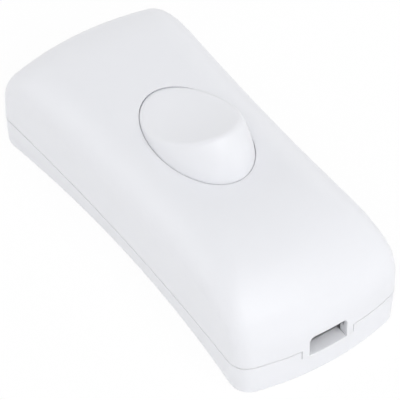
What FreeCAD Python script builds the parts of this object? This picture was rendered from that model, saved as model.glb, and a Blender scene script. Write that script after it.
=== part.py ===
"""Inline cord switch: a two-shell moulded housing with an elliptical rocker and two see-saw contact levers.

Millimetres. X runs along the switch, Y across it and Z up, and the origin is at the bottom centre.
"""
import FreeCAD, Part
import math
import os
import re
import Sketcher
from FreeCAD import Placement, Rotation, Vector

# Driving dimensions: name, millimetres or degrees, and what it measures.
SIZES = [
    ("length", 72.8, "housing, end to end on the centre line"),
    ("end_width", 32.0, "housing, across its ends at the parting line"),
    ("height", 21.0, "housing, bottom to the flat top"),
    ("waist", 1.3, "depth of the concave sides at the parting line"),
    ("bottom_waist", 2.8, "depth of the concave sides at the bottom"),
    ("end_bow", 2.6, "how far the ends bulge"),
    ("corner_radius", 3.4, "rounding of the upright corners"),
    ("slope_radius", 3.6, "rounding beside the foot of the end slopes"),
    ("shoulder_radius", 7.2, "rounding of the shoulders along the sides"),
    ("base_draft", 0.1, "how far the base draws in at the bottom"),
    ("base_edge", 0.5, "rounding of the base's bottom edge"),
    ("parting_height", 6.1, "parting line above the bottom"),
    ("parting_gap", 0.15, "shadow gap between the shells"),
    ("end_round_run", 17.0, "end slope, along"),
    ("end_round_rise", 11.4, "end slope, up"),
    ("end_radius", 8.0, "foot of the end slope"),
    ("wall", 1.8, "shell walls"),
    ("floor", 1.8, "bottom of the base"),
    ("lip_height", 1.3, "locating lip on the base's rim"),
    ("lip_thickness", 0.8, "locating lip"),
    ("fit", 0.1, "clearance between pieces that locate each other"),
    ("slot_width", 7.2, "cord slot, across"),
    ("slot_drop", 1.7, "cord slot, below the parting line"),
    ("slot_rise", 2.5, "cord slot, above the parting line"),
    ("slot_corner", 1.0, "upper corners of the cord slot"),
    ("slot_reach", 5.4, "cuts for the cord slot, inwards from the ends"),
    ("slot_ledge", 2.7, "ledges under the cord, inwards from the ends"),
    ("leg_width", 1.3, "cover legs beside the cord slot"),
    ("leg_gap", 0.12, "gap beside the cover legs"),
    ("opening_length", 23.8, "rocker opening, along"),
    ("opening_width", 15.4, "rocker opening, across"),
    ("rocker_gap", 0.08, "gap round the rocker"),
    ("pivot_depth", 2.4, "rocker axis below the flat top"),
    ("rocker_tilt", 20.0, "rocker, each way from level"),
    ("rocker_edge", 59.0, "from the rocker's upright to the ends of its dished top"),
    ("dish_radius", 40.0, "dished top of the rocker"),
    ("rocker_crease", 0.6, "rounding round the dished top"),
    ("rocker_wall", 1.7, "rocker shell, top"),
    ("rocker_side", 2.2, "rocker shell, sides"),
    ("rocker_skirt", 3.0, "rocker skirt below its axis"),
    ("trunnion", 2.6, "rocker's pivot pins, diameter"),
    ("trunnion_reach", 9.4, "outer ends of the pivot pins from the centre"),
    ("running", 0.06, "radial clearance of pins and plungers"),
    ("lug_length", 5.4, "bearing lugs, along"),
    ("lug_thickness", 1.6, "bearing lugs, across"),
    ("lug_drop", 2.8, "bearing lugs below the rocker axis"),
    ("snap_share", 0.8, "mouth of the bearing as a share of the pin"),
    ("pole_offset", 4.6, "each pole from the centre line"),
    ("post_diameter", 4.6, "spring posts of the rocker"),
    ("plunger_nose", 1.5, "plungers below the spring posts"),
    ("bore", 2.8, "bore of the spring posts"),
    ("bore_top", 0.6, "end of the bore above the rocker axis"),
    ("plunger_length", 5.0, "plungers, end to end"),
    ("plunger_gap", 0.2, "level plungers above the levers"),
    ("spring_wire", 0.35, "coil spring wire"),
    ("spring_pitch", 0.85, "coil spring pitch"),
    ("seat_drop", 10.4, "knife edge seats of the levers below the rocker axis"),
    ("seat_gap", 0.05, "levers above their seats"),
    ("lever_bend", 14.0, "each lever arm above level"),
    ("lever_tilt", 10.0, "lever, each way from level"),
    ("lever_thickness", 0.8, "contact levers"),
    ("lever_width", 3.4, "contact levers"),
    ("contact_arm", 7.4, "lever arm with the contact"),
    ("free_arm", 5.6, "other lever arm"),
    ("contact_place", 5.9, "contact along its lever arm"),
    ("contact_diameter", 2.4, "contact rivets"),
    ("contact_height", 0.6, "contact rivets"),
    ("contact_rim", 0.36, "straight rim of the contact rivets"),
    ("contact_flat", 1.44, "flat face of the contact rivets"),
    ("contact_gap", 0.15, "closed contacts"),
    ("terminal_sheet", 0.8, "terminal strips"),
    ("terminal_level", 3.4, "underside of the terminals"),
    ("fork_cheek", 0.7, "cheeks of the knife edge fork"),
    ("fork_rise", 1.4, "cheeks above the seat"),
    ("block_inset", 23.8, "clamp blocks from the housing's ends"),
    ("block_length", 5.8, "clamp blocks, along"),
    ("block_width", 5.0, "clamp blocks, across"),
    ("block_height", 6.2, "clamp blocks"),
    ("wire_hole", 2.9, "wire holes in the clamp blocks"),
    ("wire_level", 2.7, "wire holes above the underside of the terminals"),
    ("terminal_screw", 2.6, "terminal screws"),
    ("terminal_screw_length", 3.0, "terminal screws below the head"),
    ("terminal_head", 4.2, "terminal screw heads"),
    ("rib", 1.1, "ribs of the base"),
    ("barrier_height", 9.0, "insulating rib between the poles"),
    ("fence_height", 6.4, "ribs beside the clamp blocks"),
    ("boss_inset", 13.6, "housing screws from the housing's ends"),
    ("boss_root", 1.35, "tops of the cover's bosses below the flat top"),
    ("boss_level", 7.0, "where the bosses of the shells meet"),
    ("base_boss", 8.2, "bosses of the base"),
    ("cover_boss", 6.0, "bosses of the cover"),
    ("housing_screw", 2.9, "housing screws"),
    ("housing_screw_length", 13.0, "housing screws below the head"),
    ("housing_head", 5.4, "housing screw heads"),
    ("head_recess", 2.6, "depth of the housing screw recesses"),
    ("head_height", 1.7, "screw heads"),
    ("head_rim", 1.0, "straight rim of the screw heads"),
    ("head_bevel", 0.7, "bevel on the screw heads, inwards"),
    ("drive_slot", 0.7, "slots in the screw heads"),
    ("drive_depth", 0.9, "depth of the slots in the screw heads"),
    ("pilot_spare", 1.0, "screw holes beyond the screws' tips"),
    ("clamp_inset", 7.4, "cord clamps from the housing's ends"),
    ("clamp_length", 4.0, "cord clamps, along"),
    ("clamp_thickness", 2.4, "cord clamps"),
    ("clamp_corner", 1.2, "corners of the cord clamps"),
    ("clamp_screw", 2.4, "clamp screws"),
    ("clamp_screw_length", 6.6, "clamp screws below the head"),
    ("clamp_screw_offset", 5.9, "clamp screws from the centre line"),
    ("clamp_head", 4.2, "clamp screw heads"),
    ("clamp_post", 4.6, "clamp screw posts"),
    ("clamp_ridge", 0.5, "gripping ridge under the clamps"),
]
ALIASES = {row[0] for row in SIZES}

ENDS = (("near", 1), ("far", -1))
SIDES = (("left", -1), ("right", 1))
BOTTOM_EDGE_ANGLES = (0, 30, 60, 90)

doc = FreeCAD.newDocument("inline_cord_switch")
sheet = doc.addObject("Spreadsheet::Sheet", "Sizes")
for row, (alias, size, meaning) in enumerate(SIZES, start=1):
    sheet.set("A%d" % row, str(size))
    sheet.setAlias("A%d" % row, alias)
    sheet.set("B%d" % row, meaning)
doc.recompute()


def bound(text):
    """The expression with each driving dimension's name tied to its cell."""
    return re.sub(r"[a-z][a-z_]+", lambda m: "Sizes." + m[0] if m[0] in ALIASES else m[0], text)


def value(text):
    """What an expression of driving dimensions comes to now."""
    return float(sheet.evalExpression(bound(text)))


# Places that several pieces share.
HALF_LENGTH = "length / 2"
HALF_END = "end_width / 2"
SLOT_FLOOR = "(parting_height - slot_drop)"
SLOT_ROOF = "(parting_height + slot_rise)"
PIVOT_LEVEL = "(height - pivot_depth)"
OPENING_LONG = "sqrt((opening_length / 2)^2 + pivot_depth^2)"
OPENING_WIDE = "(opening_width / opening_length * %s)" % OPENING_LONG
ROCKER_LONG = "(%s - rocker_gap)" % OPENING_LONG
ROCKER_WIDE = "(%s - rocker_gap)" % OPENING_WIDE
LUG_START = "(%s + fit)" % OPENING_WIDE
SEAT_LEVEL = "(%s - seat_drop)" % PIVOT_LEVEL
LEVER_LEVEL = "(%s + seat_gap)" % SEAT_LEVEL
LEVER_TOP = "(%s + lever_thickness / cos(lever_bend))" % LEVER_LEVEL
PLUNGER_TIP = "(%s - %s - plunger_gap)" % (PIVOT_LEVEL, LEVER_TOP)
CLOSED_ANGLE = "(lever_bend - lever_tilt)"
OPEN_ANGLE = "(lever_bend + lever_tilt)"
CONTACT_X = "(-contact_place * cos%s - contact_height * sin%s)" % (CLOSED_ANGLE, CLOSED_ANGLE)
CONTACT_LEVEL = "(%s + contact_place * sin%s - contact_height * cos%s - contact_gap)" % (
    LEVER_LEVEL, CLOSED_ANGLE, CLOSED_ANGLE)
STRIP_LEVEL = "(%s - contact_height - terminal_sheet)" % CONTACT_LEVEL
BLOCK_TOP = "(terminal_level + block_height)"
BLOCK_START = "(length / 2 - block_inset)"
BLOCK_END = "(%s + block_length)" % BLOCK_START
BLOCK_MIDDLE = "(%s + block_length / 2)" % BLOCK_START
BOSS_PLACE = "(length / 2 - boss_inset)"
CLAMP_PLACE = "(length / 2 - clamp_inset)"
POST_REACH = "(%s - plunger_nose)" % PLUNGER_TIP
END_BOW_RADIUS = "(((%s)^2 + end_bow^2) / 2 / end_bow)" % HALF_END


def hollow_radius(half_chord, depth):
    """Radius of an arc as deep as this in the middle of its chord."""
    return "(((%s)^2 + (%s)^2) / 2 / (%s))" % (half_chord, depth, depth)


def new_body(label):
    body = doc.addObject("PartDesign::Body", label)
    body.Label = label
    return body


def place(body, x="0", y="0", z="0", axis=Vector(0, 1, 0), angle="0"):
    """Puts a body at a bound place, turned by a bound angle about the axis."""
    body.Placement = Placement(Vector(value(x), value(y), value(z)), Rotation(axis, value(angle)))
    for letter, text in zip("xyz", (x, y, z)):
        body.setExpression("Placement.Base." + letter, bound(text))
    if value(angle):
        body.setExpression("Placement.Rotation.Angle", bound("(%s) * 1 deg" % angle))


def sketch_on(body, role, name, offset="0"):
    """An empty sketch on one of the body's own origin planes, lifted along the plane's normal."""
    sketch = body.newObject("Sketcher::SketchObject", name)
    plane = [item for item in body.Origin.OriginFeatures if item.Role == role][0]
    sketch.AttachmentSupport = (plane, [""])
    sketch.MapMode = "FlatFace"
    sketch.setExpression("AttachmentOffset.Base.z", bound(offset))
    return sketch


def fix(sketch, kind, *where, to):
    """A dimension of the sketch, tied to an expression."""
    index = sketch.addConstraint(Sketcher.Constraint(kind, *where, value(to)))
    sketch.setExpression("Constraints[%d]" % index, bound(to))


def add_loop(sketch, corners):
    """A closed loop through corners (x, y), or (x, y, radius, turn) where an arc leaves the corner.

    turn is 1 for an arc that turns left and -1 for one that turns right.
    """
    first = sketch.GeometryCount
    points = [Vector(value(c[0]), value(c[1]), 0) for c in corners]
    travel = []
    for i, corner in enumerate(corners):
        start, end = points[i], points[(i + 1) % len(points)]
        if len(corner) == 2:
            sketch.addGeometry(Part.LineSegment(start, end), False)
            travel.append((1, 2))
            continue
        radius, turn = value(corner[2]), corner[3]
        chord = end - start
        across = Vector(-chord.y, chord.x, 0).normalize() * turn
        centre = (start + end) * 0.5 + across * math.sqrt(radius ** 2 - (chord.Length / 2) ** 2)
        low, high = (start, end) if turn > 0 else (end, start)
        angles = [math.atan2(p.y - centre.y, p.x - centre.x) for p in (low, high)]
        circle = Part.Circle(centre, Vector(0, 0, 1), radius)
        sketch.addGeometry(Part.ArcOfCircle(circle, angles[0], angles[1]), False)
        travel.append((1, 2) if turn > 0 else (2, 1))
    for i, corner in enumerate(corners):
        after = (i + 1) % len(corners)
        sketch.addConstraint(Sketcher.Constraint(
            "Coincident", first + i, travel[i][1], first + after, travel[after][0]))
        fix(sketch, "DistanceX", first + i, travel[i][0], to=corner[0])
        fix(sketch, "DistanceY", first + i, travel[i][0], to=corner[1])
        if len(corner) > 2:
            fix(sketch, "Radius", first + i, to=corner[2])


def add_box(sketch, x_low, x_high, y_low, y_high):
    add_loop(sketch, [(x_low, y_low), (x_high, y_low), (x_high, y_high), (x_low, y_high)])


def add_rounded_box(sketch, half_x, half_y, radius):
    """A box about the origin with rounded corners."""
    short_x, short_y = "(%s - %s)" % (half_x, radius), "(%s - %s)" % (half_y, radius)
    add_loop(sketch, [
        ("-" + short_x, "-" + half_y), (short_x, "-" + half_y, radius, 1),
        (half_x, "-" + short_y), (half_x, short_y, radius, 1),
        (short_x, half_y), ("-" + short_x, half_y, radius, 1),
        ("-" + half_x, short_y), ("-" + half_x, "-" + short_y, radius, 1),
    ])


def add_circle(sketch, x, y, diameter):
    circle = Part.Circle(Vector(value(x), value(y), 0), Vector(0, 0, 1), value(diameter) / 2)
    index = sketch.addGeometry(circle, False)
    fix(sketch, "DistanceX", index, 3, to=x)
    fix(sketch, "DistanceY", index, 3, to=y)
    fix(sketch, "Diameter", index, to=diameter)


def add_ellipse(sketch, long_radius, short_radius):
    """An ellipse about the origin, long along x."""
    index = sketch.addGeometry(Part.Ellipse(Vector(), value(long_radius), value(short_radius)), False)
    sketch.exposeInternalGeometry(index)
    major, minor = index + 1, index + 2
    fix(sketch, "DistanceX", index, 3, to="0")
    fix(sketch, "DistanceY", index, 3, to="0")
    fix(sketch, "Distance", major, to="2 * (%s)" % long_radius)
    fix(sketch, "Distance", minor, to="2 * (%s)" % short_radius)
    sketch.addConstraint(Sketcher.Constraint("Horizontal", major))


def add_half_ellipse(sketch, long_radius, short_radius):
    """The half of an ellipse on the right of the y axis, closed along that axis."""
    long, short = value(long_radius), value(short_radius)
    ellipse = Part.Ellipse(Vector(), long, short)
    arc = sketch.addGeometry(Part.ArcOfEllipse(ellipse, -math.pi / 2, math.pi / 2), False)
    line = sketch.addGeometry(Part.LineSegment(Vector(0, short, 0), Vector(0, -short, 0)), False)
    sketch.exposeInternalGeometry(arc)
    major, minor = line + 1, line + 2
    sketch.addConstraint(Sketcher.Constraint("Coincident", arc, 2, line, 1))
    sketch.addConstraint(Sketcher.Constraint("Coincident", arc, 1, line, 2))
    sketch.addConstraint(Sketcher.Constraint("Horizontal", major))
    fix(sketch, "DistanceX", line, 1, to="0")
    fix(sketch, "DistanceX", line, 2, to="0")
    fix(sketch, "DistanceX", arc, 3, to="0")
    fix(sketch, "DistanceY", arc, 3, to="0")
    fix(sketch, "Distance", major, to="2 * (%s)" % long_radius)
    fix(sketch, "Distance", minor, to="2 * (%s)" % short_radius)


def add_outline(sketch, end_x, side_y, waist, corner):
    """The waisted plan: two bowed ends, two hollow sides and four tangent corners.

    end_x and side_y are where the outline crosses the axes. The side's radius comes from the waist's depth
    over the housing's length, and the end's radius from its bow over the housing's width.
    """
    first = sketch.GeometryCount
    side_radius = hollow_radius(HALF_LENGTH, waist)
    bow_x = "(%s - %s)" % (end_x, END_BOW_RADIUS)
    hollow_y = "(%s + %s)" % (side_y, side_radius)
    bow, hollow, bend = value(END_BOW_RADIUS), value(side_radius), value(corner)
    centre_x, centre_y = value(bow_x), value(hollow_y)
    # The corner's centre is bow - bend from the end's centre and hollow + bend from the side's.
    apart = math.hypot(centre_x, centre_y)
    along = ((bow - bend) ** 2 - (hollow + bend) ** 2 + apart ** 2) / 2 / apart
    off = math.sqrt((bow - bend) ** 2 - along ** 2)
    unit = Vector(-centre_x / apart, centre_y / apart, 0)
    middle = Vector(centre_x, 0, 0) + unit * along + Vector(unit.y, -unit.x, 0) * off
    end_turn = math.atan2(middle.y, middle.x - centre_x)
    side_turn = math.atan2(middle.y - centre_y, middle.x)

    def arc(x, y, radius, start, end):
        circle = Part.Circle(Vector(x, y, 0), Vector(0, 0, 1), radius)
        return sketch.addGeometry(Part.ArcOfCircle(circle, start, end), False)

    ahead = side_turn + math.pi
    arcs = [
        (arc(centre_x, 0, bow, -end_turn, end_turn), 1, 2),
        (arc(middle.x, middle.y, bend, end_turn, ahead), 1, 2),
        (arc(0, centre_y, hollow, -math.pi - side_turn, side_turn), 2, 1),
        (arc(-middle.x, middle.y, bend, math.pi - ahead, math.pi - end_turn), 1, 2),
        (arc(-centre_x, 0, bow, math.pi - end_turn, math.pi + end_turn), 1, 2),
        (arc(-middle.x, -middle.y, bend, math.pi + end_turn, math.pi + ahead), 1, 2),
        (arc(0, -centre_y, hollow, -side_turn, math.pi + side_turn), 2, 1),
        (arc(middle.x, -middle.y, bend, -ahead, -end_turn), 1, 2),
    ]
    for i, (index, _, leave) in enumerate(arcs):
        after, enter, _ = arcs[(i + 1) % len(arcs)]
        sketch.addConstraint(Sketcher.Constraint("Tangent", index, leave, after, enter))
    for step, side in ((0, ""), (4, "-")):
        fix(sketch, "DistanceX", first + step, 3, to=side + bow_x)
        fix(sketch, "DistanceY", first + step, 3, to="0")
        fix(sketch, "Radius", first + step, to=END_BOW_RADIUS)
        fix(sketch, "DistanceX", first + step + 2, 3, to="0")
        fix(sketch, "DistanceY", first + step + 2, 3, to=side + hollow_y)
        fix(sketch, "Radius", first + step + 2, to=side_radius)
        fix(sketch, "Radius", first + step + 1, to=corner)
        fix(sketch, "Radius", first + step + 3, to=corner)


def extrude(body, kind, sketch, length=None, symmetric=False, upward=None):
    """A Pad or Pocket of the sketch. upward turns it along or against the plane's normal."""
    item = body.newObject("PartDesign::" + kind, kind.lower() + "_" + sketch.Name)
    item.Profile = sketch
    if length is None:
        item.Type = "ThroughAll"
    else:
        item.setExpression("Length", bound(length))
    if symmetric:
        item.SideType = "Symmetric"
    elif upward is not None:
        item.Reversed = upward != (kind == "Pad")
    body.Tip = item
    return item


def pad(body, sketch, length, **how):
    return extrude(body, "Pad", sketch, length, **how)


def pocket(body, sketch, length=None, **how):
    """Cuts the sketch out and makes sure that it took something away."""
    doc.recompute()
    before = body.Shape.Volume
    item = extrude(body, "Pocket", sketch, length, **how)
    doc.recompute()
    if not body.Shape.Volume < before:
        raise RuntimeError("%s cuts nothing" % item.Label)
    return item


def loft(body, kind, sections, ruled=False):
    item = body.newObject("PartDesign::" + kind, kind.lower())
    item.Profile = sections[0]
    item.Sections = sections[1:]
    item.Ruled = ruled
    body.Tip = item
    return item


def dress(body, kind, name, places, **sizes):
    """A Fillet or Thickness on the named edges or faces of the body so far."""
    before = body.Tip
    item = body.newObject("PartDesign::" + kind, name)
    item.Base = (before, places)
    for size, text in sizes.items():
        item.setExpression(size, bound(text))
    body.Tip = item
    doc.recompute()
    return item


def revolve(body, sketch):
    item = body.newObject("PartDesign::Revolution", "revolution_" + sketch.Name)
    item.Profile = sketch
    item.ReferenceAxis = (sketch, ["V_Axis"])
    item.Angle = 360
    body.Tip = item
    return item


def groove(body, sketch):
    """Turns the sketch's profile about its line, past both sides of the housing, and cuts it out."""
    doc.recompute()
    before = body.Shape.Volume
    item = body.newObject("PartDesign::Groove", "groove_" + sketch.Name)
    item.Profile = sketch
    item.ReferenceAxis = (sketch, ["Axis0"])
    item.setExpression("Angle", bound("4 * asin(%s / %s)" % (HALF_END, END_BOW_RADIUS)))
    item.Midplane = True
    body.Tip = item
    doc.recompute()
    if not body.Shape.Volume < before:
        raise RuntimeError("%s cuts nothing" % item.Label)
    return item


def end_cut(end):
    """Low and high x of the cuts for a cord slot, past the end wall both ways."""
    return sorted(["%d * (length / 2 - slot_reach)" % end, "%d * (length / 2 + wall)" % end], key=value)


def cover_end(body, name, end):
    """The bowed end wall and the slope above it: a line and two tangent arcs, turned about the bow."""
    face = "(%d * %s)" % (end, HALF_LENGTH)
    start = "(height - end_round_rise)"
    # The two arcs make up a quarter oval of the given run and rise.
    wide = "((end_round_run^2 + end_round_rise^2 - 2 * end_round_run * end_radius)"
    wide += " / 2 / (end_round_rise - end_radius))"
    small_x, small_z = "end_radius", "0"
    wide_x, wide_z = "end_round_run", "(end_round_rise - %s)" % wide
    share = "(end_radius / (%s - end_radius))" % wide
    meet_x = "(%s + (%s - %s) * %s)" % (small_x, small_x, wide_x, share)
    meet_z = "(%s + (%s - %s) * %s)" % (small_z, small_z, wide_z, share)
    outside = "(%d * (%s + 3 * wall + 2 * end_bow))" % (end, HALF_LENGTH)
    profile = sketch_on(body, "XZ_Plane", "end_" + name)
    add_loop(profile, [
        (face, SLOT_FLOOR + " - wall"),
        (face, start, "end_radius", end),
        ("%s - %d * %s" % (face, end, meet_x), "%s + %s" % (start, meet_z), wide, end),
        ("%s - %d * end_round_run" % (face, end), "height"),
        ("%s - %d * end_round_run" % (face, end), "height + wall"),
        (outside, "height + wall"),
        (outside, SLOT_FLOOR + " - wall"),
    ])
    centre = "(%d * (%s - %s))" % (end, HALF_LENGTH, END_BOW_RADIUS)
    foot, tip = Vector(value(centre), 0, 0), Vector(value(centre), 1, 0)
    axis = profile.addGeometry(Part.LineSegment(foot, tip), True)
    fix(profile, "DistanceX", axis, 1, to=centre)
    fix(profile, "DistanceY", axis, 1, to="0")
    fix(profile, "DistanceX", axis, 2, to=centre)
    fix(profile, "DistanceY", axis, 2, to="wall")
    groove(body, profile)


def cover_form():
    """The solid cover: hollow sides, sloping ends, a rounding that widens from corners to shoulders."""
    blank = new_body("cover_blank")
    plan = sketch_on(blank, "XY_Plane", "plan", SLOT_FLOOR)
    long_x = "(%s + 2 * wall)" % HALF_LENGTH
    side_radius = hollow_radius(HALF_LENGTH, "waist")
    long_y = "(%s - waist + %s - sqrt(%s^2 - %s^2))" % (HALF_END, side_radius, side_radius, long_x)
    add_loop(plan, [
        ("-" + long_x, "-" + long_y, side_radius, -1), (long_x, "-" + long_y),
        (long_x, long_y, side_radius, -1), ("-" + long_x, long_y),
    ])
    pad(blank, plan, "height - %s" % SLOT_FLOOR)
    for name, end in ENDS:
        cover_end(blank, name, end)

    def radius_at(point):
        if point.z > value("height - fit"):
            return value("shoulder_radius")
        if point.z < value("height - end_round_rise + fit"):
            return value("corner_radius")
        return value("slope_radius")

    # A rounding that widens along its edges takes plain numbers, so they are read from the sheet here.
    rounded = []
    for number, edge in enumerate(blank.Shape.Edges, start=1):
        if abs(edge.CenterOfMass.y) > value(HALF_END) / 2 and edge.BoundBox.ZMax > value("parting_height"):
            start, end = edge.valueAt(edge.FirstParameter), edge.valueAt(edge.LastParameter)
            rounded.append((number, radius_at(start), radius_at(end)))
    shoulder = doc.addObject("Part::Fillet", "shoulder")
    shoulder.Base = blank
    shoulder.Edges = rounded
    return shoulder


def base_section(body, name, level, inset):
    """Plan section of the base at a level: it draws in and its waist deepens towards the bottom."""
    down = "(1 - %s / parting_height)" % level
    waist = "(waist + (bottom_waist - waist) * %s)" % down
    drawn = "(base_draft * %s + %s)" % (down, inset)
    sketch = sketch_on(body, "XY_Plane", name, level)
    add_outline(sketch, "(%s - %s)" % (HALF_LENGTH, drawn), "(%s - %s - %s)" % (HALF_END, waist, drawn),
                waist, "(corner_radius - %s)" % inset)
    return sketch


def make_cover():
    """The upper shell with its slotted ends, the rocker's opening, bearings and bosses."""
    body = new_body("top_cover")
    body.BaseFeature = cover_form()
    doc.recompute()
    bottom = ["Face%d" % number for number, face in enumerate(body.Shape.Faces, start=1)
              if face.BoundBox.ZMax < value("parting_height")]
    hollowing = dress(body, "Thickness", "hollowing", bottom, Value="wall")
    hollowing.Reversed = True
    doc.recompute()

    # Only the legs beside the cord slots reach below the rim.
    rim = sketch_on(body, "XY_Plane", "rim", SLOT_FLOOR)
    add_box(rim, "-length", "length", "-end_width", "end_width")
    for _, end in ENDS:
        for _, side in SIDES:
            xs = end_cut(end)
            ys = sorted(["%d * slot_width / 2" % side, "%d * (slot_width / 2 + leg_width)" % side], key=value)
            add_box(rim, xs[0], xs[1], ys[0], ys[1])
    pocket(body, rim, "slot_drop + parting_gap", upward=True)

    rebate = sketch_on(body, "XY_Plane", "rebate", "parting_height + parting_gap")
    step = "(wall - lip_thickness - fit)"
    add_outline(rebate, "(%s - %s)" % (HALF_LENGTH, step), "(%s - waist - %s)" % (HALF_END, step),
                "waist", "(corner_radius - %s)" % step)
    pocket(body, rebate, "lip_height - parting_gap + fit", upward=True)

    slot = sketch_on(body, "YZ_Plane", "cord_slot")
    half = "slot_width / 2"
    add_loop(slot, [
        ("-" + half, SLOT_FLOOR + " - wall"),
        (half, SLOT_FLOOR + " - wall"),
        (half, SLOT_ROOF + " - slot_corner", "slot_corner", 1),
        (half + " - slot_corner", SLOT_ROOF),
        ("slot_corner - " + half, SLOT_ROOF, "slot_corner", 1),
        ("-" + half, SLOT_ROOF + " - slot_corner"),
    ])
    pocket(body, slot, symmetric=True)

    # Bearing lugs hang beside the opening and bosses at both ends.
    lugs = sketch_on(body, "XY_Plane", "lugs", "%s - lug_drop" % PIVOT_LEVEL)
    for _, side in SIDES:
        near, far = "%d * %s" % (side, LUG_START), "%d * (%s + lug_thickness)" % (side, LUG_START)
        ys = sorted([near, far], key=value)
        add_box(lugs, "-lug_length / 2", "lug_length / 2", ys[0], ys[1])
    pad(body, lugs, "lug_drop + pivot_depth - wall / 2")
    bosses = sketch_on(body, "XY_Plane", "bosses", "boss_level")
    for _, end in ENDS:
        add_circle(bosses, "%d * %s" % (end, BOSS_PLACE), "0", "cover_boss")
    pad(body, bosses, "height - boss_level - boss_root")
    pilots = sketch_on(body, "XY_Plane", "pilots", "boss_level")
    for _, end in ENDS:
        add_circle(pilots, "%d * %s" % (end, BOSS_PLACE), "0", "housing_screw + 2 * running")
    pocket(body, pilots, "housing_screw_length - boss_level + head_recess + pilot_spare", upward=True)

    bearing = sketch_on(body, "XZ_Plane", "bearing")
    add_circle(bearing, "0", PIVOT_LEVEL, "trunnion + 2 * running")
    pocket(body, bearing, "2 * (trunnion_reach + fit)", symmetric=True)
    mouth = sketch_on(body, "XZ_Plane", "bearing_mouth")
    half = "trunnion * snap_share / 2"
    add_box(mouth, "-" + half, half, "%s - lug_drop - wall" % PIVOT_LEVEL, PIVOT_LEVEL)
    pocket(body, mouth, "2 * (trunnion_reach + fit)", symmetric=True)

    # The opening's wall is part of the ellipsoid that the rocker sweeps, a gap wider.
    doc.recompute()
    before = body.Shape.Volume
    opening = body.newObject("PartDesign::SubtractiveEllipsoid", "opening")
    opening.setExpression("Radius1", bound(OPENING_LONG))
    opening.setExpression("Radius2", bound(OPENING_LONG))
    opening.setExpression("Radius3", bound(OPENING_WIDE))
    opening.setExpression("Placement.Base.z", bound(PIVOT_LEVEL))
    body.Tip = opening
    doc.recompute()
    if not body.Shape.Volume < before:
        raise RuntimeError("the rocker's opening cuts nothing")
    return body


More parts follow.
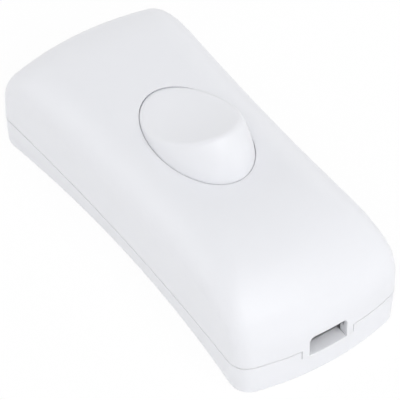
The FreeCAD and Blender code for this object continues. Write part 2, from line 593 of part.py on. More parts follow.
def make_base():
    """The lower shell: a lipped tray with seats for the terminals, cord ways, posts and screw bosses."""
    body = new_body("base")
    # The bottom edge is rounded by sections part of the way round it.
    sections = []
    for number, angle in enumerate(BOTTOM_EDGE_ANGLES):
        level = "(base_edge * (1 - cos(%d)))" % angle
        inset = "(base_edge * (1 - sin(%d)))" % angle
        sections.append(base_section(body, "bottom_%d" % number, level, inset))
    sections.append(base_section(body, "parting", "parting_height", "0"))
    loft(body, "AdditiveLoft", sections, ruled=True)
    doc.recompute()
    loft(body, "SubtractiveLoft", [base_section(body, "tray_floor", "floor", "wall"),
                                   base_section(body, "tray_rim", "parting_height", "wall")], ruled=True)

    lip = sketch_on(body, "XY_Plane", "lip", "parting_height")
    for inset in ("(wall - lip_thickness)", "wall"):
        add_outline(lip, "(%s - %s)" % (HALF_LENGTH, inset), "(%s - waist - %s)" % (HALF_END, inset),
                    "waist", "(corner_radius - %s)" % inset)
    pad(body, lip, "lip_height")
    notch = sketch_on(body, "XY_Plane", "notch", "parting_height + lip_height")
    half = "(slot_width / 2 + leg_width + leg_gap)"
    for _, end in ENDS:
        xs = end_cut(end)
        add_box(notch, xs[0], xs[1], "-" + half, half)
    pocket(body, notch, "lip_height + slot_drop", upward=False)

    # Everything below stands on the floor, rooted half way into it.
    root = "floor / 2"

    def stand(name, top, draw):
        sketch = sketch_on(body, "XY_Plane", name, root)
        draw(sketch)
        pad(body, sketch, "%s - %s" % (top, root))

    def terminal_seats(sketch):
        for _, side in SIDES:
            ys = sorted(["%d * (pole_offset - block_width / 2)" % side,
                         "%d * (pole_offset + block_width / 2)" % side], key=value)
            add_box(sketch, "-%s" % BLOCK_END, "-%s" % BLOCK_START, ys[0], ys[1])
            add_box(sketch, "-rib", BLOCK_END, ys[0], ys[1])

    def contact_seats(sketch):
        for _, side in SIDES:
            ys = sorted(["%d * (pole_offset - lever_width / 2)" % side,
                         "%d * (pole_offset + lever_width / 2)" % side], key=value)
            left, right = CONTACT_X + " - contact_diameter", CONTACT_X + " + contact_diameter / 2"
            add_box(sketch, left, right, ys[0], ys[1])

    def barrier(sketch):
        add_box(sketch, "-%s" % BLOCK_END, BLOCK_END, "-rib / 2", "rib / 2")

    def fences(sketch):
        for _, end in ENDS:
            for _, side in SIDES:
                near = "(pole_offset + block_width / 2 + fit)"
                xs = sorted(["%d * %s" % (end, BLOCK_START), "%d * %s" % (end, BLOCK_END)], key=value)
                ys = sorted(["%d * %s" % (side, near), "%d * (%s + rib)" % (side, near)], key=value)
                add_box(sketch, xs[0], xs[1], ys[0], ys[1])

    def cord_ways(sketch):
        for _, end in ENDS:
            for start, stop in ((CLAMP_PLACE + " - rib", CLAMP_PLACE + " + rib"),
                                ("length / 2 - slot_ledge", "length / 2 - wall / 2")):
                xs = sorted(["%d * (%s)" % (end, start), "%d * (%s)" % (end, stop)], key=value)
                add_box(sketch, xs[0], xs[1], "-slot_width / 2", "slot_width / 2")

    def clamp_posts(sketch):
        for _, end in ENDS:
            for _, side in SIDES:
                x, y = "%d * %s" % (end, CLAMP_PLACE), "%d * clamp_screw_offset" % side
                add_circle(sketch, x, y, "clamp_post")

    def bosses(sketch):
        for _, end in ENDS:
            add_circle(sketch, "%d * %s" % (end, BOSS_PLACE), "0", "base_boss")

    stand("terminal_seats", "terminal_level", terminal_seats)
    stand("contact_seats", STRIP_LEVEL, contact_seats)
    stand("barrier", "barrier_height", barrier)
    stand("fences", "fence_height", fences)
    stand("cord_ways", SLOT_FLOOR, cord_ways)
    stand("clamp_posts", SLOT_ROOF, clamp_posts)
    stand("bosses", "boss_level", bosses)

    pilots = sketch_on(body, "XY_Plane", "clamp_pilots", SLOT_ROOF)
    for _, end in ENDS:
        for _, side in SIDES:
            x, y = "%d * %s" % (end, CLAMP_PLACE), "%d * clamp_screw_offset" % side
            add_circle(pilots, x, y, "clamp_screw + 2 * running")
    pocket(body, pilots, "clamp_screw_length - clamp_thickness + fit", upward=False)
    for name, diameter, depth in (("screw_holes", "housing_screw + 4 * fit", None),
                                  ("head_recesses", "housing_head + 4 * fit", "head_recess")):
        holes = sketch_on(body, "XY_Plane", name)
        for _, end in ENDS:
            add_circle(holes, "%d * %s" % (end, BOSS_PLACE), "0", diameter)
        pocket(body, holes, depth, upward=True)
    return body


def make_rocker():
    """The rocker about its own axis: part of an ellipsoid, dished on top, hollow below, with posts."""
    body = new_body("rocker")
    form = sketch_on(body, "XY_Plane", "form")
    add_half_ellipse(form, ROCKER_LONG, ROCKER_WIDE)
    revolve(body, form)

    edge_x = "(%s * sin(rocker_edge))" % ROCKER_LONG
    edge_z = "(%s * cos(rocker_edge))" % ROCKER_LONG
    dish = sketch_on(body, "XZ_Plane", "dish")
    add_loop(dish, [
        ("-" + edge_x, edge_z, "dish_radius", 1),
        (edge_x, edge_z),
        ("2 * " + edge_x, edge_z),
        ("2 * " + edge_x, "3 * " + edge_z),
        ("-2 * " + edge_x, "3 * " + edge_z),
        ("-2 * " + edge_x, edge_z),
    ])
    pocket(body, dish, symmetric=True)
    top = [face for face in body.Shape.Faces if isinstance(face.Surface, Part.Cylinder)]
    crease = ["Edge%d" % number for number, edge in enumerate(body.Shape.Edges, start=1)
              if any(edge.isSame(other) for face in top for other in face.Edges)]
    dress(body, "Fillet", "crease", crease, Radius="rocker_crease")
    skirt = sketch_on(body, "XZ_Plane", "skirt")
    add_box(skirt, "-2 * " + edge_x, "2 * " + edge_x, "-2 * " + edge_x, "-rocker_skirt")
    pocket(body, skirt, symmetric=True)

    roof = "(%s + sqrt(dish_radius^2 - %s^2) - dish_radius - rocker_wall)" % (edge_z, edge_x)
    hollow = sketch_on(body, "XY_Plane", "hollow", "-rocker_skirt")
    add_ellipse(hollow, "%s - rocker_side" % ROCKER_LONG, "%s - rocker_side" % ROCKER_WIDE)
    pocket(body, hollow, "rocker_skirt + %s" % roof, upward=True)

    posts = sketch_on(body, "XY_Plane", "posts", "-" + POST_REACH)
    for _, side in SIDES:
        add_circle(posts, "0", "%d * pole_offset" % side, "post_diameter")
    pad(body, posts, "%s + %s + rocker_wall / 2" % (POST_REACH, roof))
    bores = sketch_on(body, "XY_Plane", "bores", "-" + POST_REACH)
    for _, side in SIDES:
        add_circle(bores, "0", "%d * pole_offset" % side, "bore")
    pocket(body, bores, "%s + bore_top" % POST_REACH, upward=True)
    for name, side in SIDES:
        # This plane's normal points to -Y.
        root = "%d * (%s - rocker_wall / 2)" % (-side, ROCKER_WIDE)
        pin = sketch_on(body, "XZ_Plane", "trunnion_" + name, root)
        add_circle(pin, "0", "0", "trunnion")
        pad(body, pin, "trunnion_reach - %s + rocker_wall / 2" % ROCKER_WIDE, upward=side < 0)
    place(body, z=PIVOT_LEVEL, angle="-rocker_tilt")
    return body


def make_plunger(name, side):
    """A round-nosed pin in its post, drawn about the rocker's axis."""
    body = new_body("plunger_" + name)
    profile = sketch_on(body, "XZ_Plane", "plunger_profile")
    radius = "(bore / 2 - running)"
    add_loop(profile, [
        ("0", "-" + PLUNGER_TIP, radius, 1),
        (radius, "-%s + %s" % (PLUNGER_TIP, radius)),
        (radius, "-%s + plunger_length" % PLUNGER_TIP),
        ("0", "-%s + plunger_length" % PLUNGER_TIP),
    ])
    revolve(body, profile)
    place(body, y="%d * pole_offset" % side, z=PIVOT_LEVEL, angle="-rocker_tilt")
    return body


def make_spring(name, side):
    """A coil spring between the plunger and the end of the bore."""
    body = new_body("rocker_spring_" + name)
    start = "(plunger_length - %s + spring_wire)" % PLUNGER_TIP
    wire = sketch_on(body, "XZ_Plane", "wire")
    add_circle(wire, "bore / 2 - 2 * running - spring_wire / 2", start, "spring_wire")
    coil = body.newObject("PartDesign::AdditiveHelix", "coil")
    coil.Profile = wire
    coil.ReferenceAxis = (wire, ["V_Axis"])
    coil.Mode = "pitch-height-angle"
    coil.setExpression("Pitch", bound("spring_pitch"))
    coil.setExpression("Height", bound("bore_top - %s - spring_wire" % start))
    body.Tip = coil
    place(body, y="%d * pole_offset" % side, z=PIVOT_LEVEL, angle="-rocker_tilt")
    return body


def make_lever(name, side):
    """A bent strip that see-saws on its lowest edge."""
    body = new_body("contact_lever_" + name)
    strip = sketch_on(body, "XZ_Plane", "strip")
    rise, run = "sin(lever_bend)", "cos(lever_bend)"
    add_loop(strip, [
        ("0", "0"),
        ("free_arm * " + run, "free_arm * " + rise),
        ("free_arm * %s - lever_thickness * %s" % (run, rise),
         "free_arm * %s + lever_thickness * %s" % (rise, run)),
        ("0", "lever_thickness / " + run),
        ("-contact_arm * %s + lever_thickness * %s" % (run, rise),
         "contact_arm * %s + lever_thickness * %s" % (rise, run)),
        ("-contact_arm * " + run, "contact_arm * " + rise),
    ])
    pad(body, strip, "lever_width", symmetric=True)
    place(body, y="%d * pole_offset" % side, z=LEVER_LEVEL, angle="lever_tilt")
    return body


def make_contact(label, x, y, z, angle, down):
    """A domed contact rivet on its seat, facing down or up."""
    body = new_body(label)
    profile = sketch_on(body, "XZ_Plane", "rivet")
    face = "-" if down else ""
    radius = "contact_diameter / 2"
    add_loop(profile, [
        ("0", "0"), (radius, "0"), (radius, face + "contact_rim"),
        ("contact_flat / 2", face + "contact_height"), ("0", face + "contact_height"),
    ])
    revolve(body, profile)
    place(body, x=x, y=y, z=z, angle=angle)
    return body


def add_clamp_block(body, end):
    """A drilled block with a wire hole along it and a screw hole from above."""
    block = sketch_on(body, "XY_Plane", "block", "terminal_level")
    xs = sorted(["%d * %s" % (end, BLOCK_START), "%d * %s" % (end, BLOCK_END)], key=value)
    add_box(block, xs[0], xs[1], "-block_width / 2", "block_width / 2")
    pad(body, block, "block_height")
    hole = sketch_on(body, "YZ_Plane", "wire_way", "%s - fit" % xs[0])
    add_circle(hole, "0", "terminal_level + wire_level", "wire_hole")
    pocket(body, hole, "block_length + 2 * fit", upward=True)
    tapped = sketch_on(body, "XY_Plane", "screw_way", BLOCK_TOP)
    add_circle(tapped, "%d * %s" % (end, BLOCK_MIDDLE), "0", "terminal_screw + 2 * running")
    pocket(body, tapped, "block_height - wire_level", upward=False)


def make_pivot_terminal(name, side):
    """A folded strip whose forked upright carries the lever, with its clamp block."""
    body = new_body("pivot_terminal_" + name)
    inner = "(lever_width / 2 + fit)"
    outer = "(%s + fork_cheek)" % inner
    fork_top = SEAT_LEVEL + " + fork_rise"
    fork = sketch_on(body, "YZ_Plane", "fork")
    add_loop(fork, [
        ("-" + outer, "terminal_level"), (outer, "terminal_level"),
        (outer, fork_top), (inner, fork_top), (inner, SEAT_LEVEL),
        ("-" + inner, SEAT_LEVEL), ("-" + inner, fork_top), ("-" + outer, fork_top),
    ])
    pad(body, fork, "terminal_sheet", symmetric=True)
    foot = sketch_on(body, "XZ_Plane", "foot")
    add_box(foot, "0", "%s + fit" % BLOCK_START, "terminal_level", "terminal_level + terminal_sheet")
    pad(body, foot, "lever_width", symmetric=True)
    add_clamp_block(body, 1)
    place(body, y="%d * pole_offset" % side)
    return body


def make_fixed_terminal(name, side):
    """A strip under the contact, with its clamp block."""
    body = new_body("fixed_terminal_" + name)
    strip = sketch_on(body, "XZ_Plane", "contact_strip")
    add_box(strip, "-%s - fit" % BLOCK_START, CONTACT_X + " + contact_diameter",
            STRIP_LEVEL, STRIP_LEVEL + " + terminal_sheet")
    pad(body, strip, "lever_width", symmetric=True)
    add_clamp_block(body, -1)
    place(body, y="%d * pole_offset" % side)
    return body


def make_clamp(name, end):
    """A strain relief bar with a gripping ridge below and two screw holes."""
    body = new_body("cord_clamp_" + name)
    width = "(2 * clamp_screw_offset + clamp_post)"
    bar = sketch_on(body, "XY_Plane", "bar")
    add_rounded_box(bar, "clamp_length / 2", width + " / 2", "clamp_corner")
    pad(body, bar, "clamp_thickness")
    ridge = sketch_on(body, "XZ_Plane", "ridge")
    corners = [("-clamp_ridge", "0"), ("0", "-clamp_ridge"), ("clamp_ridge", "0"), ("0", "clamp_ridge")]
    add_loop(ridge, corners)
    pad(body, ridge, "slot_width - 4 * fit", symmetric=True)
    holes = sketch_on(body, "XY_Plane", "clamp_holes")
    for _, side in SIDES:
        add_circle(holes, "0", "%d * clamp_screw_offset" % side, "clamp_screw + 2 * fit")
    pocket(body, holes, upward=True)
    place(body, x="%d * %s" % (end, CLAMP_PLACE), z=SLOT_ROOF)
    return body


def make_screw(label, diameter, reach, head):
    """A slotted pan head screw, with the underside of its head at its own origin."""
    body = new_body(label)
    profile = sketch_on(body, "XZ_Plane", "screw_profile")
    add_loop(profile, [
        ("0", "-" + reach), ("%s / 4" % diameter, "-" + reach),
        ("%s / 2" % diameter, "-%s + %s / 4" % (reach, diameter)), ("%s / 2" % diameter, "0"),
        ("%s / 2" % head, "0"), ("%s / 2" % head, "head_rim"),
        ("%s / 2 - head_bevel" % head, "head_height"), ("0", "head_height"),
    ])
    revolve(body, profile)
    slot = sketch_on(body, "XZ_Plane", "drive")
    low, high = "head_height - drive_depth", "head_height + drive_depth"
    add_box(slot, "-drive_slot / 2", "drive_slot / 2", low, high)
    pocket(body, slot, symmetric=True)
    return body


def group(label, members):
    """Identical fasteners kept together as separate solids."""
    item = doc.addObject("Part::Compound", label)
    item.Label = label
    item.Links = members
    return item


def make_terminal_screws():
    members = []
    for end_name, end in ENDS:
        for side_name, side in SIDES:
            screw = make_screw("terminal_screw_%s_%s" % (end_name, side_name),
                               "terminal_screw", "terminal_screw_length", "terminal_head")
            place(screw, x="%d * %s" % (end, BLOCK_MIDDLE), y="%d * pole_offset" % side, z=BLOCK_TOP)
            members.append(screw)
    return group("terminal_screws", members)


def make_clamp_screws():
    members = []
    for end_name, end in ENDS:
        for side_name, side in SIDES:
            screw = make_screw("clamp_screw_%s_%s" % (end_name, side_name),
                               "clamp_screw", "clamp_screw_length", "clamp_head")
            place(screw, x="%d * %s" % (end, CLAMP_PLACE), y="%d * clamp_screw_offset" % side,
                  z="%s + clamp_thickness" % SLOT_ROOF)
            members.append(screw)
    return group("clamp_screws", members)


def make_housing_screws():
    members = []
    for end_name, end in ENDS:
        name = "housing_screw_%s" % end_name
        screw = make_screw(name, "housing_screw", "housing_screw_length", "housing_head")
        place(screw, x="%d * %s" % (end, BOSS_PLACE), z="head_recess", axis=Vector(1, 0, 0), angle="180")
        members.append(screw)
    return group("housing_screws", members)


def main():
    pieces = [make_cover(), make_base(), make_rocker()]
    for name, side in SIDES:
        y = "%d * pole_offset" % side
        pieces.append(make_plunger(name, side))
        pieces.append(make_spring(name, side))
        pieces.append(make_lever(name, side))
        x, z = "-contact_place * cos%s" % OPEN_ANGLE, "%s + contact_place * sin%s" % (LEVER_LEVEL, OPEN_ANGLE)
        pieces.append(make_contact("moving_contact_" + name, x, y, z, OPEN_ANGLE, True))
        pieces.append(make_contact("fixed_contact_" + name, CONTACT_X, y,
                                   "%s + terminal_sheet" % STRIP_LEVEL, "0", False))
        pieces.append(make_pivot_terminal(name, side))
        pieces.append(make_fixed_terminal(name, side))
    pieces.append(make_terminal_screws())
    for name, end in ENDS:
        pieces.append(make_clamp(name, end))
    pieces.append(make_clamp_screws())
    pieces.append(make_housing_screws())
    doc.recompute()
    for item in doc.Objects:
        if "Invalid" in item.State or "Error" in item.State:
            raise RuntimeError("%s failed: %s" % (item.Label, item.State))
    for piece in pieces:
        wanted = len(piece.Links) if piece.isDerivedFrom("Part::Compound") else 1
        if not piece.Shape.isValid() or len(piece.Shape.Solids) != wanted:
            raise RuntimeError("%s has %d valid solids" % (piece.Label, len(piece.Shape.Solids)))
    os.makedirs("parts", exist_ok=True)
    for piece in pieces:
        piece.Shape.exportStep("parts/%s.step" % piece.Label)


main()
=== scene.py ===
"""Inline cord switch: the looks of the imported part, laid out as an add-on and run as a script."""
import math

import bpy
from bpy.props import FloatProperty, FloatVectorProperty, PointerProperty
from mathutils import Matrix, Vector

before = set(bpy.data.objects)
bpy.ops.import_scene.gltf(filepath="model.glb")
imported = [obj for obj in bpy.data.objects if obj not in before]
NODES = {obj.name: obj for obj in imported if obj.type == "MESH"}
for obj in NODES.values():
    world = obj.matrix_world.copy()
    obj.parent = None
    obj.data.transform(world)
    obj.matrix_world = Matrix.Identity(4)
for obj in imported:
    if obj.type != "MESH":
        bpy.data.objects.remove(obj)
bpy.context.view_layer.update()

bl_info = {
    "name": "Inline cord switch",
    "version": (1, 0, 0),
    "blender": (4, 5, 0),
    "location": "View3D > Sidebar > Cord Switch",
    "description": "Finishes the pieces of an inline cord switch and sets its stage",
    "category": "Object",
}

MM = 0.001
WHITE = (1.0, 1.0, 1.0, 1.0)

# Moulded plastic
PLASTIC_IOR = 1.53              # ABS and nylon are about the same
SCATTER_SHARE = 0.35            # share of the light that scatters under the skin
SCATTER_DEPTH = 0.6 * MM
CLOUD_WIDTH = 6 * MM
CLOUD_TINT = 0.985              # darkest tint of the cloudiness
PLASTIC_GLOSS_SPREAD = 0.05     # how far the roughness varies over the grain
EDGE_SAMPLES = 8                # rays that shade a rounded edge

# Worked metal
METAL_GLOSS_SPREAD = 0.08
MARK_RELIEF = 0.1
MARK_TINT = 0.85                # darkest tint between the marks

DEPTH_OF_PIT = 0.25             # depth of a pit or a mark as a share of its width

# Soft boxes: name, turn from +X and lift above the floor in degrees, power in watts
LAMPS = (
    ("key", 0, 50, 2.08),
    ("side_key", 315, 40, 1.00),
    ("front_fill", 45, 18, 0.36),
    ("right_fill", 90, 18, 0.55),
    ("back_right_fill", 135, 18, 0.66),
    ("back_fill", 180, 18, 0.63),
    ("left_fill", 225, 18, 0.99),
)

FLOOR_DROP = 0.02 * MM          # keeps the floor clear of the underside
FLOOR_WHITE = 0.93              # share of plain white in the floor as it is seen
SENSOR_WIDTH = 36               # in millimetres
NEAR_CLIP, FAR_CLIP = 0.05, 10


def linear(colour):
    """Linear RGB of an sRGB hex value."""
    parts = [int(colour[i:i + 2], 16) / 255 for i in (1, 3, 5)]
    return tuple(p / 12.92 if p <= 0.04045 else ((p + 0.055) / 1.055) ** 2.4 for p in parts)


def add_node(tree, kind, inputs=(), **settings):
    """Adds a node, sets its settings, and sets or links its inputs."""
    node = tree.nodes.new(kind)
    for name, setting in settings.items():
        setattr(node, name, setting)
    for socket, source in dict(inputs).items():
        if isinstance(source, bpy.types.NodeSocket):
            tree.links.new(source, node.inputs[socket])
        else:
            node.inputs[socket].default_value = source
    return node


def new_material(name):
    """An empty node material with a surface output."""
    material = bpy.data.materials.new(name)
    material.use_nodes = True
    material.node_tree.nodes.clear()
    return material, add_node(material.node_tree, "ShaderNodeOutputMaterial")


def give(material, *names):
    """Puts a material on CAD nodes."""
    for name in names:
        mesh = NODES[name].data
        mesh.materials.clear()
        mesh.materials.append(material)


def moulded_plastic(name, colour, grain, edge, roughness, relief):
    """Injection moulded ABS or nylon.

    The pigment scatters light a little way under the skin, which softens small shadows, and the colour is
    even with a faint cloudiness over a few millimetres. A spark-eroded mould leaves a satin grain that
    breaks up the gloss. Edges catch the light as if rounded by the edge radius, because a mould leaves none
    of them sharp.
    """
    material, output = new_material(name)
    tree = material.node_tree
    place = add_node(tree, "ShaderNodeTexCoord").outputs["Object"]
    cloud = add_node(tree, "ShaderNodeTexNoise", {"Vector": place, "Scale": 1 / CLOUD_WIDTH, "Detail": 2.0})
    tint = add_node(tree, "ShaderNodeMapRange", {
        "Value": cloud.outputs["Fac"], "To Min": CLOUD_TINT, "To Max": 1.0})
    shade = add_node(tree, "ShaderNodeVectorMath", {
        0: tuple(colour), 1: tint.outputs["Result"]}, operation="MULTIPLY")
    pits = add_node(tree, "ShaderNodeTexNoise", {"Vector": place, "Scale": 1 / grain, "Detail": 3.0})
    gloss = add_node(tree, "ShaderNodeMapRange", {
        "Value": pits.outputs["Fac"],
        "To Min": roughness - PLASTIC_GLOSS_SPREAD, "To Max": roughness + PLASTIC_GLOSS_SPREAD})
    soft = add_node(tree, "ShaderNodeBevel", {"Radius": edge}, samples=EDGE_SAMPLES)
    bump = add_node(tree, "ShaderNodeBump", {
        "Height": pits.outputs["Fac"], "Strength": relief, "Distance": grain * DEPTH_OF_PIT,
        "Normal": soft.outputs["Normal"]})
    surface = add_node(tree, "ShaderNodeBsdfPrincipled", {
        "Base Color": shade.outputs[0], "Roughness": gloss.outputs["Result"],
        "Normal": bump.outputs["Normal"], "IOR": PLASTIC_IOR, "Subsurface Weight": SCATTER_SHARE,
        "Subsurface Radius": (1.0, 1.0, 1.0), "Subsurface Scale": SCATTER_DEPTH})
    tree.links.new(surface.outputs["BSDF"], output.inputs["Surface"])
    return material


def worked_metal(name, colour, grain, roughness):
    """Stamped, turned, plated or drawn metal.

    Fine tool marks vary the gloss, and the colour darkens slightly between them. Real marks are a few
    hundredths of a millimetre wide, too fine to show, so the grain that draws them is wider.
    """
    material, output = new_material(name)
    tree = material.node_tree
    place = add_node(tree, "ShaderNodeTexCoord").outputs["Object"]
    marks = add_node(tree, "ShaderNodeTexNoise", {"Vector": place, "Scale": 1 / grain, "Detail": 4.0})
    gloss = add_node(tree, "ShaderNodeMapRange", {
        "Value": marks.outputs["Fac"],
        "To Min": roughness - METAL_GLOSS_SPREAD, "To Max": roughness + METAL_GLOSS_SPREAD})
    bump = add_node(tree, "ShaderNodeBump", {
        "Height": marks.outputs["Fac"], "Strength": MARK_RELIEF, "Distance": grain * DEPTH_OF_PIT})
    shade = add_node(tree, "ShaderNodeValToRGB", {"Fac": marks.outputs["Fac"]})
    shade.color_ramp.elements[0].color = (*[MARK_TINT * c for c in colour], 1.0)
    shade.color_ramp.elements[1].color = (*colour, 1.0)
    surface = add_node(tree, "ShaderNodeBsdfPrincipled", {
        "Base Color": shade.outputs["Color"], "Roughness": gloss.outputs["Result"],
        "Normal": bump.outputs["Normal"], "Metallic": 1.0})
    tree.links.new(surface.outputs["BSDF"], output.inputs["Surface"])
    return material


class CordSwitchFinish(bpy.types.PropertyGroup):
    """Colours, grain and edges of the switch's materials."""
    housing_colour: FloatVectorProperty(
        name="Housing", description="White plastic of the two shells", subtype="COLOR", size=3, min=0, max=1,
        default=linear("#E7E8EC"))
    rocker_colour: FloatVectorProperty(
        name="Rocker", description="White plastic of the rocker", subtype="COLOR", size=3, min=0, max=1,
        default=linear("#E7E8EC"))
    inner_colour: FloatVectorProperty(
        name="Inner plastic", description="Plastic of the clamps and plungers", subtype="COLOR", size=3,
        min=0, max=1, default=linear("#D9D8D2"))
    brass_colour: FloatVectorProperty(
        name="Brass", description="Levers and terminals", subtype="COLOR", size=3, min=0, max=1,
        default=linear("#D9B36B"))
    contact_colour: FloatVectorProperty(
        name="Contacts", description="Silver of the contact rivets", subtype="COLOR", size=3, min=0, max=1,
        default=linear("#E3E1DB"))
    screw_colour: FloatVectorProperty(
        name="Screws", description="Zinc plated steel of the screws", subtype="COLOR", size=3, min=0, max=1,
        default=linear("#C9CBCE"))
    spring_colour: FloatVectorProperty(
        name="Springs", description="Wire of the springs", subtype="COLOR", size=3, min=0, max=1,
        default=linear("#B4B6BA"))
    # The real grain is under 0.1 mm wide, too fine to show, so it is drawn wider
    grain: FloatProperty(
        name="Mould grain", description="Width of the satin grain of the moulded plastic", unit="LENGTH",
        default=0.3 * MM, min=0.05 * MM)
    housing_edge: FloatProperty(
        name="Housing edges", description="Radius that the shells' edges are shaded with", unit="LENGTH",
        default=0.25 * MM, min=0)
    rocker_edge: FloatProperty(
        name="Rocker edges", description="Radius that the rocker's crease is shaded with", unit="LENGTH",
        default=1.3 * MM, min=0)
    inner_edge: FloatProperty(
        name="Inner edges", description="Radius that the clamps' and plungers' edges are shaded with",
        unit="LENGTH", default=0.15 * MM, min=0)


class CordSwitchStage(bpy.types.PropertyGroup):
    """Camera, floor and light."""
    azimuth: FloatProperty(
        name="Azimuth", description="Camera round the switch, from -Y", subtype="ANGLE",
        default=math.radians(54.87))
    elevation: FloatProperty(
        name="Elevation", description="Camera above the floor", subtype="ANGLE", default=math.radians(47.70))
    roll: FloatProperty(
        name="Roll", description="Camera turned about its own axis", subtype="ANGLE",
        default=math.radians(0.46))
    distance: FloatProperty(
        name="Distance", description="Camera from the origin", unit="LENGTH", default=714.2 * MM)
    move_right: FloatProperty(
        name="Move right", description="Camera moved across its view", unit="LENGTH", default=0.554 * MM)
    move_up: FloatProperty(
        name="Move up", description="Camera moved up its view", unit="LENGTH", default=3.797 * MM)
    lens: FloatProperty(
        name="Lens", description="Focal length of the camera", unit="CAMERA", default=396)
    floor_size: FloatProperty(
        name="Floor", description="Width of the floor", unit="LENGTH", default=4.0)
    floor_colour: FloatVectorProperty(
        name="Floor colour", description="Pale floor", subtype="COLOR", size=3, min=0, max=1,
        default=linear("#FAFAFA"))
    lamp_distance: FloatProperty(
        name="Lamp distance", description="Soft boxes from the origin", unit="LENGTH", default=0.7)
    lamp_size: FloatProperty(
        name="Lamp size", description="Width of the soft boxes", unit="LENGTH", default=0.5)
    room_light: FloatProperty(
        name="Room light", description="Strength of the even light from all round", default=0.46, min=0)


class CORDSWITCH_OT_housing(bpy.types.Operator):
    """Finish the two moulded shells"""
    bl_idname = "cordswitch.housing"
    bl_label = "Housing"

    def execute(self, context):
        finish = context.scene.cord_switch_finish
        # Satin ABS: soft highlights and crisp but not sharp edges
        give(moulded_plastic("moulded_abs_housing", finish.housing_colour, finish.grain, finish.housing_edge,
                             roughness=0.42, relief=0.04),
             "top_cover", "base")
        return {"FINISHED"}


class CORDSWITCH_OT_rocker(bpy.types.Operator):
    """Finish the rocker"""
    bl_idname = "cordswitch.rocker"
    bl_label = "Rocker"

    def execute(self, context):
        finish = context.scene.cord_switch_finish
        # The same ABS from a smoother mould: a little glossier, with a soft crease
        give(moulded_plastic("moulded_abs_rocker", finish.rocker_colour, finish.grain, finish.rocker_edge,
                             roughness=0.36, relief=0.01),
             "rocker")
        return {"FINISHED"}


class CORDSWITCH_OT_inner_plastic(bpy.types.Operator):
    """Finish the cord clamps and plungers"""
    bl_idname = "cordswitch.inner_plastic"
    bl_label = "Clamps and plungers"

    def execute(self, context):
        finish = context.scene.cord_switch_finish
        # Undyed nylon: off-white and dull
        give(moulded_plastic("moulded_nylon", finish.inner_colour, finish.grain, finish.inner_edge,
                             roughness=0.5, relief=0.05),
             "cord_clamp_near", "cord_clamp_far", "plunger_left", "plunger_right")
        return {"FINISHED"}


class CORDSWITCH_OT_contacts(bpy.types.Operator):
    """Finish the levers, terminals and contact rivets"""
    bl_idname = "cordswitch.contacts"
    bl_label = "Levers, terminals and contacts"

    def execute(self, context):
        finish = context.scene.cord_switch_finish
        # Stamped brass strip: warm and half bright
        give(worked_metal("stamped_brass", finish.brass_colour, grain=0.4 * MM, roughness=0.32),
             "contact_lever_left", "contact_lever_right", "pivot_terminal_left", "pivot_terminal_right",
             "fixed_terminal_left", "fixed_terminal_right")
        # Pressed silver rivets: pale and brighter than the brass
        give(worked_metal("silver_contact", finish.contact_colour, grain=0.2 * MM, roughness=0.28),
             "moving_contact_left", "moving_contact_right", "fixed_contact_left", "fixed_contact_right")
        return {"FINISHED"}


class CORDSWITCH_OT_hardware(bpy.types.Operator):
    """Finish the screws and springs"""
    bl_idname = "cordswitch.hardware"
    bl_label = "Screws and springs"

    def execute(self, context):
        finish = context.scene.cord_switch_finish
        # Zinc plated steel: cool grey and slightly dull
        give(worked_metal("zinc_plated_steel", finish.screw_colour, grain=0.4 * MM, roughness=0.34),
             "terminal_screws", "clamp_screws", "housing_screws")
        # Drawn wire: a darker, smoother grey
        give(worked_metal("drawn_spring_wire", finish.spring_colour, grain=0.15 * MM, roughness=0.3),
             "rocker_spring_left", "rocker_spring_right")
        return {"FINISHED"}


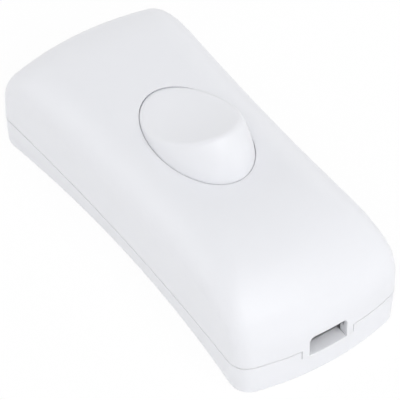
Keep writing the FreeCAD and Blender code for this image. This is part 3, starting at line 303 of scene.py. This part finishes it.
class CORDSWITCH_OT_stage(bpy.types.Operator):
    """Make the floor, the lights and the camera"""
    bl_idname = "cordswitch.stage"
    bl_label = "Stage"

    def execute(self, context):
        scene = context.scene
        stage = scene.cord_switch_stage
        scene.view_settings.view_transform = "Standard"

        half = stage.floor_size / 2
        corners = [(-half, -half, 0), (half, -half, 0), (half, half, 0), (-half, half, 0)]
        mesh = bpy.data.meshes.new("floor")
        mesh.from_pydata(corners, [], [(0, 1, 2, 3)])
        floor = bpy.data.objects.new("floor", mesh)
        floor.location.z = -FLOOR_DROP
        scene.collection.objects.link(floor)
        mesh.materials.append(self.floor_material(stage))

        self.world(scene, stage)
        for name, turn, lift, power in LAMPS:
            self.lamp(scene, stage, name, math.radians(turn), math.radians(lift), power)
        self.camera(scene, stage)
        return {"FINISHED"}

    def floor_material(self, stage):
        """White paper.

        Seen directly or in a gloss it is white with a trace of the object's shadow, and it lights as pale
        paper.
        """
        material, output = new_material("white_paper")
        tree = material.node_tree
        paper = add_node(tree, "ShaderNodeBsdfDiffuse", {"Color": (*stage.floor_colour, 1.0)})
        white = add_node(tree, "ShaderNodeEmission", {"Color": WHITE, "Strength": 1.0})
        path = add_node(tree, "ShaderNodeLightPath")
        seen = add_node(tree, "ShaderNodeMath", {
            0: path.outputs["Is Camera Ray"], 1: path.outputs["Is Glossy Ray"]}, operation="MAXIMUM")
        shown = add_node(tree, "ShaderNodeMath", {
            0: seen.outputs[0], 1: path.outputs["Is Transmission Ray"]}, operation="MAXIMUM")
        share = add_node(tree, "ShaderNodeMath", {0: shown.outputs[0], 1: FLOOR_WHITE}, operation="MULTIPLY")
        mixed = add_node(tree, "ShaderNodeMixShader", {
            0: share.outputs[0], 1: paper.outputs["BSDF"], 2: white.outputs["Emission"]})
        tree.links.new(mixed.outputs["Shader"], output.inputs["Surface"])
        return material

    def world(self, scene, stage):
        """Even studio light from all round, white to the camera."""
        world = bpy.data.worlds.new("studio")
        world.use_nodes = True
        tree = world.node_tree
        tree.nodes.clear()
        output = add_node(tree, "ShaderNodeOutputWorld")
        path = add_node(tree, "ShaderNodeLightPath")
        strength = add_node(tree, "ShaderNodeMapRange", {
            "Value": path.outputs["Is Camera Ray"], "To Min": stage.room_light, "To Max": 1.0})
        light = add_node(tree, "ShaderNodeBackground", {
            "Color": WHITE, "Strength": strength.outputs["Result"]})
        tree.links.new(light.outputs["Background"], output.inputs["Surface"])
        scene.world = world

    def lamp(self, scene, stage, name, turn, lift, power):
        """A square soft box that faces the switch."""
        way = Vector((math.cos(turn) * math.cos(lift), math.sin(turn) * math.cos(lift), math.sin(lift)))
        data = bpy.data.lights.new(name, "AREA")
        data.size = stage.lamp_size
        data.energy = power
        lamp = bpy.data.objects.new(name, data)
        lamp.location = way * stage.lamp_distance
        lamp.rotation_euler = (-way).to_track_quat("-Z", "Y").to_euler()
        scene.collection.objects.link(lamp)

    def camera(self, scene, stage):
        """A long lens at the photograph's angle, moved across its own view to frame the switch."""
        data = bpy.data.cameras.new("camera")
        data.sensor_width = SENSOR_WIDTH
        data.lens = stage.lens
        data.clip_start, data.clip_end = NEAR_CLIP, FAR_CLIP
        camera = bpy.data.objects.new("camera", data)
        a, e = stage.azimuth, stage.elevation
        back = Vector((math.sin(a) * math.cos(e), -math.cos(a) * math.cos(e), math.sin(e)))
        right = Vector((math.cos(a), math.sin(a), 0))
        up = back.cross(right)
        place = back * stage.distance + right * stage.move_right + up * stage.move_up
        axes = Matrix((right, up, back)).transposed()
        turned = axes @ Matrix.Rotation(stage.roll, 3, "Z")
        camera.matrix_world = Matrix.Translation(place) @ turned.to_4x4()
        scene.collection.objects.link(camera)
        scene.camera = camera


class CORDSWITCH_PT_panel(bpy.types.Panel):
    """Lists the steps and their settings"""
    bl_idname = "CORDSWITCH_PT_panel"
    bl_label = "Inline cord switch"
    bl_space_type = "VIEW_3D"
    bl_region_type = "UI"
    bl_category = "Cord Switch"

    def draw(self, context):
        for group in (context.scene.cord_switch_finish, context.scene.cord_switch_stage):
            for name in group.bl_rna.properties.keys():
                if name not in ("name", "rna_type"):
                    self.layout.prop(group, name)
        for operator in OPERATORS:
            self.layout.operator(operator.bl_idname)


OPERATORS = (
    CORDSWITCH_OT_housing, CORDSWITCH_OT_rocker, CORDSWITCH_OT_inner_plastic, CORDSWITCH_OT_contacts,
    CORDSWITCH_OT_hardware, CORDSWITCH_OT_stage)
CLASSES = (CordSwitchFinish, CordSwitchStage, *OPERATORS, CORDSWITCH_PT_panel)


def register():
    for item in CLASSES:
        bpy.utils.register_class(item)
    bpy.types.Scene.cord_switch_finish = PointerProperty(type=CordSwitchFinish)
    bpy.types.Scene.cord_switch_stage = PointerProperty(type=CordSwitchStage)


def unregister():
    del bpy.types.Scene.cord_switch_stage
    del bpy.types.Scene.cord_switch_finish
    for item in reversed(CLASSES):
        bpy.utils.unregister_class(item)


def main():
    register()
    bpy.ops.cordswitch.housing()
    bpy.ops.cordswitch.rocker()
    bpy.ops.cordswitch.inner_plastic()
    bpy.ops.cordswitch.contacts()
    bpy.ops.cordswitch.hardware()
    bpy.ops.cordswitch.stage()


if __name__ == "__main__":
    main()
